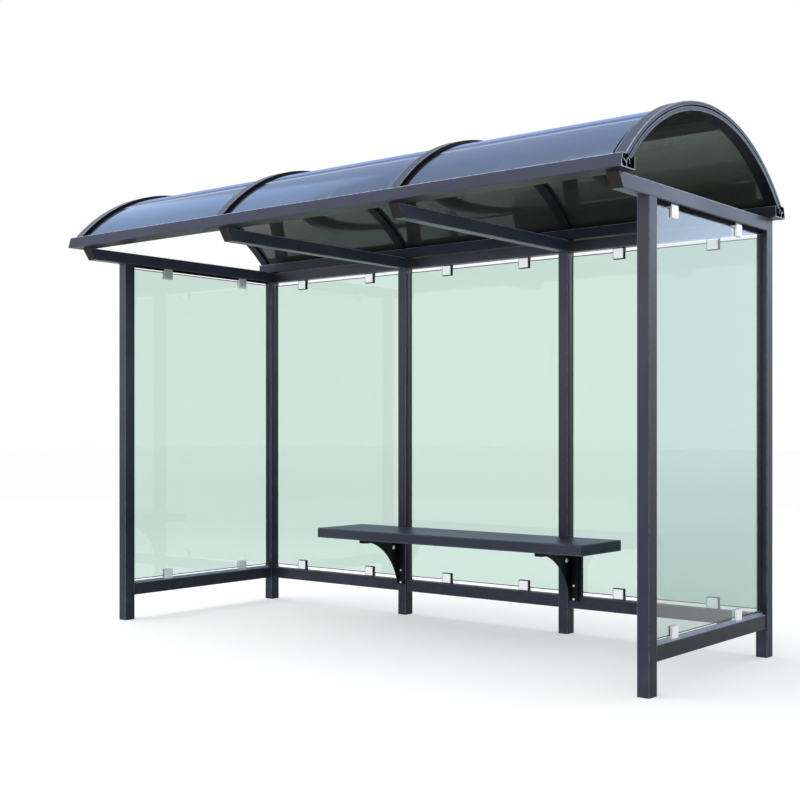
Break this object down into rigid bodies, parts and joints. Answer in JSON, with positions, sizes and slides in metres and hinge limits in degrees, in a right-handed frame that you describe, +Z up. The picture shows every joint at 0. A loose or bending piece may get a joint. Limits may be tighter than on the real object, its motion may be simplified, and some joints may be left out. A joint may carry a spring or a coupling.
{
  "type": "bus shelter",
  "caption": "Open-fronted bus shelter: tube frame, glazed back and ends held by square clamps, vaulted tinted roof on arched ribs between gutters, and a bench.",
  "frame": {"origin": "on the ground, midway between the ends and midway between the outer edges of the gutters", "axes": "+X along the shelter to the right as seen from the front, +Y to the glazed back, +Z up"},
  "size_m": [3.636, 1.672, 2.609],
  "materials": {
    "frame_paint": "satin anthracite powder coat",
    "roof_paint": "satin anthracite powder coat",
    "roof_sheet": "high gloss, blue film outside, smoke inside",
    "glass": "clear, pale green",
    "clamp_chrome": "polished",
    "bench_paint": "satin anthracite powder coat",
    "bracket_paint": "satin black",
    "seal_rubber": "matt black",
    "bolt_steel": "bright zinc plate"
  },
  "bodies": {
    "root": {"post_front_left": "frame_paint", "post_front_right": "frame_paint", "post_back_left": "frame_paint", "post_back_mid_left": "frame_paint", "post_back_mid_right": "frame_paint", "post_back_right": "frame_paint", "cross_beam_left": "frame_paint", "cross_beam_mid_left": "frame_paint", "cross_beam_mid_right": "frame_paint", "cross_beam_right": "frame_paint", "top_rail_left": "frame_paint", "top_rail_middle": "frame_paint", "top_rail_right": "frame_paint", "bottom_rail_left": "frame_paint", "bottom_rail_middle": "frame_paint", "bottom_rail_right": "frame_paint", "side_rail_left": "frame_paint", "side_rail_right": "frame_paint", "gutter_front": "roof_paint", "gutter_back": "roof_paint", "roof_rib_left": "roof_paint", "roof_rib_mid_left": "roof_paint", "roof_rib_mid_right": "roof_paint", "roof_rib_right": "roof_paint", "roof_sheet_left": "roof_sheet", "roof_sheet_middle": "roof_sheet", "roof_sheet_right": "roof_sheet", "rib_seals": "seal_rubber", "glass_back_left": "glass", "glass_back_middle": "glass", "glass_back_right": "glass", "glass_side_left": "glass", "glass_side_right": "glass", "clamps_back_left": "clamp_chrome", "clamps_back_middle": "clamp_chrome", "clamps_back_right": "clamp_chrome", "clamps_side_left": "clamp_chrome", "clamps_side_right": "clamp_chrome", "bench_seat": "bench_paint", "bench_bracket_left": "bracket_paint", "bench_bracket_right": "bracket_paint", "bracket_packer": "bracket_paint", "bracket_bolts": "bolt_steel"}
  },
  "joints": []
}
